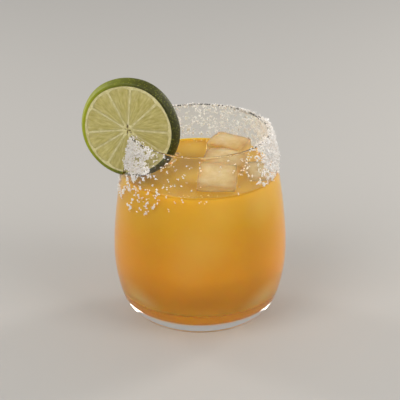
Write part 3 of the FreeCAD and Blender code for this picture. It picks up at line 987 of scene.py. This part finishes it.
def band_side(inset):
    low_turn = math.asin((BAND_LOW - NECK_CENTRE.y) / (NECK_ARC - inset))
    return arc(NECK_CENTRE, NECK_ARC - inset, low_turn, LIP_TURN)


def cut_away(piece, tool):
    """Cuts tool out of piece for good."""
    cut = piece.modifiers.new("cut", "BOOLEAN")
    cut.operation = "DIFFERENCE"
    cut.object = tool
    cut.solver = "MANIFOLD"
    shape = piece.evaluated_get(bpy.context.evaluated_depsgraph_get())
    mesh = bpy.data.meshes.new_from_object(shape)
    piece.modifiers.clear()
    old, piece.data = piece.data, mesh
    bpy.data.meshes.remove(old)


band = lathe("slit_band", band_side(-SLIT_GAP) + lip_over + band_side(WALL + SLIT_GAP)[::-1],
             None, closed=True)
for piece in (peel, pith, sacs):
    piece.matrix_world = WHEEL_PLACE
    bpy.context.view_layer.update()
    cut_away(piece, band)
    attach(piece, "root")
bpy.data.objects.remove(band)
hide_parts("lime_wheel")
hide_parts("lime_wheel")
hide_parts("lime_wheel")
print("wheel pieces of", [len(piece.data.polygons) for piece in (peel, pith, sacs)], "faces")

# %% [markdown]
# ## Salt
#
# The rim was wetted with lime and dipped in coarse salt. Where it was wet the grains form a
# crust, elsewhere they cling in clumps and some slid down. Each grain is a worn cube of a
# quarter of a millimetre to a millimetre. All of them are one joined mesh, because grains made
# any other way would be lost when the model is handed on.

# %% Scatter the grains
# Round the rim, in degrees from +X towards the back: share covered, and how far down it goes.
SALT_COVER = (
    (-60, 0.06, 18), (-42, 0.28, 20), (-26, 0.90, 21), (0, 1.00, 22), (16, 0.90, 20), (35, 0.55, 19),
    (60, 0.42, 20), (90, 0.34, 20), (120, 0.36, 20), (150, 0.40, 20), (170, 0.75, 22), (184, 0.95, 32),
    (205, 0.88, 34), (220, 0.74, 34), (234, 0.32, 33), (250, 0.09, 28), (275, 0.04, 24), (300, 0.06, 20),
)
SALT_FROM, SALT_TO = -60, 300
SALT_CLUMPS = 3400
# Where more than CRUST_COVER is covered there is a crust, whose lower edge waves. Where more
# than LIP_COVER is, some clumps sit on the lip itself.
CRUST_COVER = 0.5
CRUST_DEPTH = 16 * MM
CRUST_SHARE = 0.70
CRUST_WAVE = 0.45
WAVE_DEGREES = 9.0
WAVE_SLICE = 2.0
TOWARDS_LIP = 0.9
CRUST_PILE = 1.3 * MM
LIP_COVER = 0.2
LIP_SHARE = 0.14
LIP_OVER = 0.8 * math.pi
GRAINS_A_CLUMP = (4, 12)
FEWEST_SHARE = 0.2
CLUMP_SPREAD_MM = (0.35, 0.95)
GRAIN_SIZE = (0.28 * MM, 0.78 * MM)
GRAIN_PROUD = (0.15, 0.55)
GRAIN_STRETCH = (0.45, 1.35)
GRAIN_WEAR = (0.75, 1.1)
ANY_TURN = 6.3


def cover_at(turn):
    """Share covered and depth of the salt band at a direction, in degrees."""
    turns, covers, depths = zip(*SALT_COVER)
    return float(np.interp(turn, turns, covers)), float(np.interp(turn, turns, depths)) * MM


def grain(dice, place, size):
    """The eight corners of a worn, turned grain."""
    turn = dice.uniform(0, ANY_TURN)
    turned = Matrix.Rotation(turn, 3, Vector([dice.gauss(0, 1) for _ in range(3)]).normalized())
    stretch = Vector([dice.uniform(*GRAIN_STRETCH) for _ in range(3)]) * size / 2
    corners = []
    for x in (-1, 1):
        for y in (-1, 1):
            for z in (-1, 1):
                wear = dice.uniform(*GRAIN_WEAR)
                corner = Vector((x * stretch.x, y * stretch.y, z * stretch.z))
                corners.append(place + turned @ corner * wear)
    return corners


GRAIN_FACES = ((0, 1, 3, 2), (4, 6, 7, 5), (0, 4, 5, 1), (2, 3, 7, 6), (0, 2, 6, 4), (1, 5, 7, 3))


def scatter_salt(material):
    dice = random.Random(SEED)
    vertices, faces = [], []
    for _ in range(SALT_CLUMPS):
        turn = dice.uniform(SALT_FROM, SALT_TO)
        cover, depth = cover_at(turn)
        if dice.random() > cover:
            continue
        if cover > CRUST_COVER and dice.random() < CRUST_SHARE:
            wave = noise.noise(Vector((turn / WAVE_DEGREES, 0.0, WAVE_SLICE)))
            down = CRUST_DEPTH * (1 + CRUST_WAVE * wave) * dice.random() ** TOWARDS_LIP
        elif cover > LIP_COVER and dice.random() < LIP_SHARE:
            down = WALL * dice.random()
        else:
            down = depth * dice.random()
        spread = dice.uniform(*CLUMP_SPREAD_MM) * MM
        spread *= 0.5 + 0.5 * cover
        grown = FEWEST_SHARE + (1 - FEWEST_SHARE) * min(1.0, 2 * cover)
        for _ in range(round(dice.randint(*GRAINS_A_CLUMP) * grown)):
            low = down + dice.gauss(0, spread)
            angle = math.radians(turn) + dice.gauss(0, spread) / RIM_RADIUS
            size = dice.uniform(*GRAIN_SIZE) * (0.75 + 0.25 * cover)
            proud = size * dice.uniform(*GRAIN_PROUD)
            if cover > CRUST_COVER and down < CRUST_DEPTH:
                proud += CRUST_PILE * dice.random() ** 3
            if low > WALL / 2:
                height = RIM_HEIGHT - low
                radius = wall_radius(height) + proud
            else:
                over = dice.uniform(0.0, LIP_OVER)
                height = LIP_CENTRE.y + (WALL / 2 + proud) * math.sin(over)
                radius = LIP_CENTRE.x + (WALL / 2 + proud) * math.cos(over)
            place = Vector((radius * math.cos(angle), radius * math.sin(angle), height))
            start = len(vertices)
            vertices += grain(dice, place, size)
            faces += [[start + c for c in face] for face in GRAIN_FACES]
    return piece_from("rim_salt", vertices, faces, material, smooth=False)


def coarse_salt():
    """Halite: clear crystal broken up by flaws, so that a pile of it looks white."""
    material, output = new_material("coarse_salt")
    place = place_in(material)
    flaws = add_node(material, "ShaderNodeTexNoise", {"Vector": place, "Scale": 700.0}).outputs["Fac"]
    colour = ramp(material, flaws, [(0.3, "#f4ece4"), (0.7, "#ffffff")])
    salt = add_node(material, "ShaderNodeBsdfPrincipled", {
        "Base Color": colour, "Roughness": 0.25, "IOR": 1.54,
        "Subsurface Weight": 0.4, "Subsurface Radius": (1 * MM, 1 * MM, 1 * MM),
        "Subsurface Scale": 1.0})
    return finish_material(material, output, salt)


salt = scatter_salt(coarse_salt())
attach(salt, "root")
print("salt of", len(salt.data.vertices) // 8, "grains")
